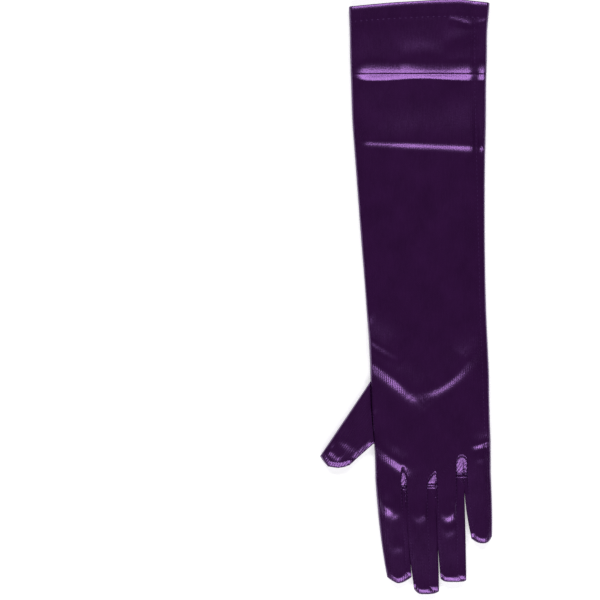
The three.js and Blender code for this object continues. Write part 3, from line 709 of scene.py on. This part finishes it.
# Thumb
# A tube of the same satin, closed at its tip and set into the hole in the trank's near edge. It comes out
# from under the edge of the palm, so its root lies in the shade of that edge.
THUMB_EDGE = 63.0
THUMB_TIP_WIDTH = 23.0
THUMB_TURN = np.radians(34)
THUMB_TIP_TURN = np.radians(12)
THUMB_LOFT = 0.72 * LOFT
THUMB_CELLS = 26
THUMB_ROOT = 0.16  # share of its length in which it grows out of the hole's edge
ROUND_START = 0.75  # share of its length from which its outer side narrows to the tip's round edge
SEAM_GAP = 0.3
THUMB_TIP = {"across": [0, 0.2, 0.42, 0.75, 0.92, 1], "beyond": [0, 3.5, 6.6, 6.4, 4.8, 2.6]}
# The pressed slope round its tip and down its inner edge, where its two layers meet.
THUMB_RIM = {"width": 3.8, "slope": 0.5, "round": 0.9, "seam": 2.2, "start": 0.3}
RIM_POINTS = 90
THUMB_WRINKLES = [
    {"path": [(-75, 19.5), (-71, 15), (-66, 10.8)], "steep": (0.34, 0.42, 0.3), "above": 5, "below": 2.8},
    {"path": [(-66, 25), (-61, 21), (-56, 18)], "steep": (0.16, 0.28, 0.2), "above": 7, "below": 4},
]
THUMB_WAVES = {"height": 0.12, "rows": [(0.23, 0.1, 0), (-0.21, 0.17, 2)]}
THUMB_FADE = 0.15  # share of its width in which the wrinkles fade at either edge


def hole_edge(share, down):
    """A point of the hole's edge. share runs from the wrist's end to the fingers', down from the lip."""
    place = mix(1, hole_start, share)
    loops = arm_loop(place)
    near = loops[:, -SIDE_CELLS - 1:][:, ::-1]
    at = mix(LIP_CELLS, SIDE_CELLS, down)
    low = np.floor(at).astype(int).clip(0, SIDE_CELLS - 1)
    rows = np.arange(len(place))
    point = mix(near[rows, low], near[rows, low + 1], (at - low)[:, None])
    return point + SEAM_GAP * np.stack([-np.ones_like(share), 2 * share - 1, 0 * share], axis=-1)


def thumb_plan(straight, tip, share, insets=(0, 0)):
    """A point of the thumb's plan at a share from its outer edge to its inner one, each drawn in by its
    inset. It lies on the straight line from the hole to the tip, which goes on beyond its end by the
    tip's own table."""
    ends = hole_edge(np.array([0.0, 1.0]), np.array([0.0, 0.0]))[:, :2]
    outer_end = ends[0] + THUMB_EDGE * np.array([-np.sin(THUMB_TURN), -np.cos(THUMB_TURN)])
    inner_end = outer_end + THUMB_TIP_WIDTH * np.array([np.cos(THUMB_TIP_TURN), -np.sin(THUMB_TIP_TURN)])
    drawn_in = mix(insets[0], 1 - insets[1], share)[..., None]
    start = mix(ends[0], ends[1], drawn_in)
    end = mix(outer_end, inner_end, drawn_in)
    way = (end - start) / np.linalg.norm(end - start, axis=-1, keepdims=True)
    tip_place = end + way * np.interp(share, THUMB_TIP["across"], THUMB_TIP["beyond"])[..., None]
    place = mix(start, tip_place - way * TIP_ROUND, straight[..., None])
    return place + way * TIP_ROUND * tip[..., None]


def thumb_relief(x, y, share):
    """The thumb's own small wrinkles, flat at its two edges."""
    rows = sum(wrinkle(x, y, row) for row in THUMB_WRINKLES)
    bumps = rows + waviness(x, y, THUMB_WAVES)
    return bumps * smooth(share / THUMB_FADE) * smooth((1 - share) / THUMB_FADE)


def thumb_loop(straight, tip):
    """Closed rows round the thumb: the back from the outer edge, the inner side, the front, the outer
    side. The back falls in a straight slope near its rim, and both layers meet at the seam's height."""
    straight, tip = straight[:, None], tip[:, None]
    opened = closing(tip)
    ends = [thumb_plan(straight, tip, 0 * straight + side)[:, 0] for side in (0, 1)]
    gone = ends[0] - ends[1]
    width = np.linalg.norm(gone, axis=1)[:, None]
    narrowed = smooth((straight - ROUND_START) / (1 - ROUND_START))
    outer_round = mix(THUMB_LOFT * EDGE_REACH, THUMB_RIM["round"], narrowed)
    radii = [outer_round * opened, THUMB_RIM["round"] * opened]
    share = np.linspace(0, 1, THUMB_CELLS + 1)[None, :]
    insets = [radius / width for radius in radii]
    plan = thumb_plan(straight + 0 * share, tip + 0 * share, share + 0 * straight, insets)
    along = np.linspace(0, 1, RIM_POINTS)
    tip_line = thumb_plan(1 + 0 * along, 1 + 0 * along, along)
    inner_line = thumb_plan(1 - along, 0 * along, 1 + 0 * along)
    rim_line = np.concatenate([tip_line, inner_line])
    off_rim = np.linalg.norm(plan[:, :, None] - rim_line, axis=-1).min(axis=-1)
    drop = THUMB_RIM["slope"] * np.clip(THUMB_RIM["width"] - off_rim, 0, None)
    drop = drop * smooth(straight / THUMB_RIM["start"])
    bumps = thumb_relief(plan[..., 0], plan[..., 1], share) * smooth(off_rim / THUMB_RIM["width"])
    back = THUMB_LOFT - drop + bumps
    upper = np.dstack([plan, mix(THUMB_RIM["seam"], back, opened)])
    lower = np.dstack([plan, mix(THUMB_RIM["seam"], 0 * back, opened)])[:, ::-1]
    bulges = [np.concatenate([gone / width * radius, 0 * width], axis=1) for radius in radii]
    inner = round_side(upper[:, -1], lower[:, 0], -bulges[1])
    outer = round_side(upper[:, 0], lower[:, -1], bulges[0])[:, ::-1]
    return np.concatenate([upper, inner[:, 1:], lower[:, 1:], outer[:, 1:]], axis=1)


straight, tip = tipped_rows(THUMB_EDGE, ROW_STEP)
across = np.linspace(0, 1, THUMB_CELLS + 1)
down = np.linspace(0, 1, SIDE_CELLS + 1)
base = np.concatenate([
    hole_edge(across, 0 * across),
    hole_edge(0 * down + 1, down)[1:],
    hole_edge(1 - across, 0 * across + 1)[1:],
    hole_edge(0 * down, 1 - down)[1:],
])
grown = smooth(straight / THUMB_ROOT)[:, None, None]
thumb_panel = mix(base, thumb_loop(straight, tip), grown)[::-1]
sew("thumb_satin", [thumb_panel], aubergine_satin, ["thumb"], THUMB_TURN)

# Fourchettes
# Three narrow strips of the same satin make the side walls between the fingers. Each goes up one finger,
# folds round the crotch and goes down the next, and shows from above as a strip beside the finger and a
# bright patch at its fork.
FOURCHETTE_NAMES = ["fourchette_index_middle", "fourchette_middle_ring", "fourchette_ring_little"]
WALL_BEND = 0.9  # how high the strip still stands where it turns down beside its finger
WALL_CELLS = 18
WALL_CROWDING = 1.4  # the power that draws a wall's rows closer to its upper seam
WALL_STEP = 0.7
# The patch's step below its seam, its slope, how far off the seam it lies on that slope, the length of
# its fold, how much of its fall is left after the fold, and where that has risen to nothing.
PATCH = {"step": 0.4, "slope": 0.45, "seam": 0.6, "fold": 2.0, "left": 0.4, "end": 30.0}


def side_wall(k, side, straight, tip):
    """Rows down the side wall of a finger, side 0 on its left and 1 on its right: from the upper seam out
    to the finger's edge, falling slightly, and then in a sharper and sharper curve down and in to the
    lower seam. It is a quadratic curve out to the bend, plus the way from there to the lower seam times
    s^2 across and s^4 down."""
    column = np.array([float(side)])
    above = finger_sheet(k, True, straight, tip, column)[:, 0]
    below = finger_sheet(k, False, straight, tip, column)[:, 0]
    edge = finger_edges(k, (above[:, 1] + below[:, 1]) / 2)[side]
    outwards = 2 * side - 1
    touch = np.sqrt(np.abs(above[:, 0] - edge) * np.abs(below[:, 0] - edge))
    bend_height = mix(below[:, 2], above[:, 2], WALL_BEND)
    bend = np.stack([edge + outwards * touch, below[:, 1], bend_height], axis=-1)
    share = (np.linspace(0, 1, WALL_CELLS + 1) ** WALL_CROWDING)[None, :, None]
    above, bend, below = above[:, None], bend[:, None], below[:, None]
    out = mix(above, bend, 1 - (1 - share) ** 2)
    return out + (below - bend) * np.concatenate([share**2, share**4, share**4], axis=-1)


def fork_patch(strip, notch):
    """Presses the strip down to an even slope below the crotch: a plane that falls from the arch to the
    patch's end, comes part of the way back up in a sharp fold and then rises slowly. The cloth stays at
    its seam and reaches the plane a little way off it."""
    down = NOTCHES[notch]["top"] - strip[..., 1]
    patch = NOTCHES[notch]["patch"]
    ends = [0, patch, patch + PATCH["fold"], patch + PATCH["end"]]
    fall = PATCH["slope"] * patch * np.interp(down, ends, [0, 1, PATCH["left"], 0])
    plane = SEAM_HEIGHT * LOFT - fall - PATCH["step"] * np.interp(down, ends, [1, 1, 1, 0])
    from_seam = np.linalg.norm((strip - strip[:, :1])[..., :2], axis=-1)
    settled = smooth(from_seam / PATCH["seam"])
    pressed = strip.copy()
    pressed[..., 2] = mix(strip[..., 2], np.minimum(strip[..., 2], plane), settled)
    return pressed


for notch, name in enumerate(FOURCHETTE_NAMES):
    walls = []
    for k, side in ((notch, 1), (notch + 1, 0)):
        straight, tip = tipped_rows(fingers[k]["length"], WALL_STEP)
        walls.append(side_wall(k, side, straight, tip))
    across, rise = (column[:, None, None] for column in notch_arc(notch))
    fork = mix(walls[0][0], walls[1][0], across) + NOTCHES[notch]["depth"] * rise * np.array([0, 1, 0])
    strip = fork_patch(np.concatenate([walls[0][::-1], fork, walls[1]]), notch)
    sew(name + "_satin", [strip], aubergine_satin, [name])

# Cuff hem
# The trank's end is turned inwards at the cuff and held by one row of stitches. Inside, the satin shows
# its dull reverse side, where the light spreads out softly.
HEM_DEPTH = 12.0  # the turned-in end goes a little past its stitches
HEM_CELLS = 8
dull_satin = satin_knit("dull_satin_reverse", "#1d0a24", "#281030", "#a878c8", 0.6, 0.5)

hem_top = cuff_roll(cuff_edge)[-1]
hem_end = arm_loop(np.array([2 - HEM_DEPTH / SLEEVE_LENGTH]))[0] + (hem_top - cuff_edge)
hem_panel = mix(hem_end, hem_top, rows_between(0, 1, 1 / HEM_CELLS)[:, None, None])
sew("cuff_hem_satin", [hem_panel[:, ::-1]], dull_satin, ["cuff_hem"])

# Stitching
# Polyester thread of the satin's own colour. One row of small stitches holds the hem, one closes the
# side, and one runs down each seam between a finger and its fourchette.
HEM_ROW = {"spacing": 3.9, "length": 1.9, "width": 0.45}
SIDE_ROW = {"spacing": 3.0, "length": 1.6, "width": 0.3}
FINGER_ROW = {"spacing": 2.4, "length": 1.3, "width": 0.26}
SIDE_ROW_START = 0.35  # share of the palm's length at which the side's stitches begin to show
STITCH_RINGS = 5
STITCH_SIDES = 6
STITCH_BLUNTNESS = 1.04  # at 1 its ends would be points
LOOK_AHEAD = 0.5  # how far before and after a stitch its direction is read off the line
SEAM_LINE_STEP = 2.0
FINGER_LINE_STEP = 0.02  # of a finger's length
TWIST_LENGTH = 0.4  # in which the thread's plies turn once


def sewing_thread():
    """Twisted polyester thread, a little glossy. Its plies show as a fine change of dark and light."""
    material, tree = empty_material("polyester_sewing_thread")
    place = node(tree, "ShaderNodeTexCoord")
    twist = node(tree, "ShaderNodeTexNoise", {
        "Vector": place.outputs["Object"], "Scale": 1 / (TWIST_LENGTH * MILLIMETRE), "Detail": 2.0})
    ply = node(tree, "ShaderNodeMix", {
        "Factor": twist.outputs["Fac"], "A": colour("#2b1136"), "B": colour("#563069")}, data_type="RGBA")
    twisted = node(tree, "ShaderNodeBsdfPrincipled", {
        "Base Color": ply.outputs["Result"], "Roughness": 0.4, "Specular Tint": colour("#d0a0f0")})
    node(tree, "ShaderNodeOutputMaterial", {"Surface": twisted.outputs["BSDF"]})
    return material


thread = sewing_thread()


def even_places(line, spacing):
    """Points evenly along a line of points, with the way it runs at each."""
    steps = np.linalg.norm(np.diff(line, axis=0), axis=1)
    length = np.concatenate([[0], np.cumsum(steps)])
    at = np.arange(spacing / 2, length[-1], spacing)
    points, ahead, behind = (
        np.stack([np.interp(at + off, length, line[:, i]) for i in range(3)], axis=-1)
        for off in (0, LOOK_AHEAD, -LOOK_AHEAD))
    run = ahead - behind
    return points, run / np.linalg.norm(run, axis=1)[:, None]


def stitch_row(name, lines, spacing, length, width):
    """Small spindles of thread along lines of points: each a ring of points carried along its stitch, as
    thick as sqrt(bluntness - s^2) from its middle to its ends, and closed at both."""
    number = np.arange(STITCH_RINGS * STITCH_SIDES).reshape(STITCH_RINGS, STITCH_SIDES)
    cells = [number[:-1], np.roll(number[:-1], -1, 1), np.roll(number[1:], -1, 1), number[1:]]
    walls = np.stack(cells, axis=-1).reshape(1, -1, 4)
    along = np.linspace(-1, 1, STITCH_RINGS)[None, :, None, None]
    turn = (2 * np.pi * np.arange(STITCH_SIDES) / STITCH_SIDES)[None, None, :, None]
    radius = width / 2 * np.sqrt(STITCH_BLUNTNESS - along**2)
    all_points, all_faces = [], []
    count = 0
    for line in lines:
        points, run = even_places(line, spacing)
        aside = np.cross(run, [0, 0, 1])
        aside /= np.linalg.norm(aside, axis=1)[:, None] + 1e-9
        up = np.cross(aside, run)
        points, run, aside, up = (column[:, None, None] for column in (points, run, aside, up))
        ring = np.cos(turn) * aside + np.sin(turn) * up
        all_points.append((points + length / 2 * along * run + radius * ring).reshape(-1, 3))
        start = count + number.size * np.arange(len(points))[:, None, None]
        all_faces += (start + walls).reshape(-1, 4).tolist()
        all_faces += (start[:, 0] + number[0, ::-1]).tolist()
        all_faces += (start[:, 0] + number[-1]).tolist()
        count += number.size * len(points)
    mesh = bpy.data.meshes.new(name)
    mesh.from_pydata((np.concatenate(all_points) + HAND_PLACE) * MILLIMETRE, [], all_faces)
    mesh.polygons.foreach_set("use_smooth", np.ones(len(mesh.polygons), bool))
    mesh.materials.append(thread)
    piece = bpy.data.objects.new(name, mesh)
    bpy.context.scene.collection.objects.link(piece)
    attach(piece, "root")


hem_place = 2 - HEM_STITCH / SLEEVE_LENGTH
stitch_row("hem_stitches", [arm_loop(np.array([hem_place]))[0]], **HEM_ROW)

seam_line = []
for row in arm_sheet(rows_between(SIDE_ROW_START, hem_place, SEAM_LINE_STEP / SLEEVE_LENGTH), True):
    x = seam_x(row[:, 1].mean())
    seam_line.append([x, np.interp(x, row[:, 0], row[:, 1]), np.interp(x, row[:, 0], row[:, 2])])
stitch_row("side_seam_stitches", [np.array(seam_line)], **SIDE_ROW)

finger_lines = []
for k, finger in enumerate(fingers):
    for side, sewn in zip((0.0, 1.0), finger["sewn"]):
        if sewn:
            straight = rows_between(0, 1, FINGER_LINE_STEP)
            finger_lines.append(finger_sheet(k, True, straight, 0 * straight, np.array([side]))[:, 0])
stitch_row("finger_seam_stitches", finger_lines, **FINGER_ROW)

# Floor, light and camera
# A plain white sheet, two long softboxes beyond the cuff and beyond the fingers that light the folds, and a
# camera that looks straight down from the thumb's side, so that the glove lies at the right of its picture.
PIXEL = 0.7  # millimetres of the glove to a pixel of the picture
PICTURE_MIDDLE = (300, 300)
GLOVE_MIDDLE = (406.1, 297.8)  # in the same picture, from its upper left corner
PICTURE_WIDTH = 600
SENSOR = 36
LENS = 150
# The floor and the softboxes are in metres, their power in watts.
FLOOR_SIZE = 8
FLOOR_DROP = 0.0002
SOFTBOX = {"width": 1.7, "height": 0.36, "power": 18.5}
SOFTBOX_AWAY = 1.15
SOFTBOX_UP = 1.05

bpy.ops.mesh.primitive_plane_add(size=FLOOR_SIZE, location=(0, 0, -FLOOR_DROP))
floor = bpy.context.object
floor.name = "floor"
# Matt white paper, lifted by a little light of its own so that it stays white beyond the softboxes' reach.
paper, paper_tree = empty_material("white_paper")
matt = node(paper_tree, "ShaderNodeBsdfPrincipled", {
    "Base Color": colour("#f6f5f7"), "Roughness": 0.9, "Specular IOR Level": 0.1,
    "Emission Color": (1, 1, 1, 1), "Emission Strength": 0.4})
node(paper_tree, "ShaderNodeOutputMaterial", {"Surface": matt.outputs["BSDF"]})
floor.data.materials.append(paper)


def softbox(name, place, width, height, power):
    """A rectangular lamp at a place in metres, facing the glove."""
    lamp = bpy.data.lights.new(name, "AREA")
    lamp.shape = "RECTANGLE"
    lamp.size = width
    lamp.size_y = height
    lamp.energy = power
    holder = bpy.data.objects.new(name, lamp)
    holder.location = place
    holder.rotation_euler = (-Vector(place)).to_track_quat("-Z", "Y").to_euler()
    holder.visible_camera = False
    bpy.context.scene.collection.objects.link(holder)


softbox("softbox_cuff", (0.0, SOFTBOX_AWAY, SOFTBOX_UP), **SOFTBOX)
softbox("softbox_fingers", (0.0, -SOFTBOX_AWAY, SOFTBOX_UP), **SOFTBOX)

world = bpy.data.worlds.new("dim_studio")
world.use_nodes = True
dimness = world.node_tree.nodes["Background"].inputs
dimness["Color"].default_value = (0.9, 0.93, 1.0, 1)
dimness["Strength"].default_value = 0.06
bpy.context.scene.world = world
bpy.context.scene.view_settings.view_transform = "Standard"

lens = bpy.data.cameras.new("camera")
lens.lens = LENS
lens.sensor_width = SENSOR
camera = bpy.data.objects.new("camera", lens)
camera.location = (
    (PICTURE_MIDDLE[0] - GLOVE_MIDDLE[0]) * PIXEL * MILLIMETRE,
    (GLOVE_MIDDLE[1] - PICTURE_MIDDLE[1]) * PIXEL * MILLIMETRE,
    PICTURE_WIDTH * PIXEL * MILLIMETRE * LENS / SENSOR,
)
bpy.context.scene.collection.objects.link(camera)
bpy.context.scene.camera = camera
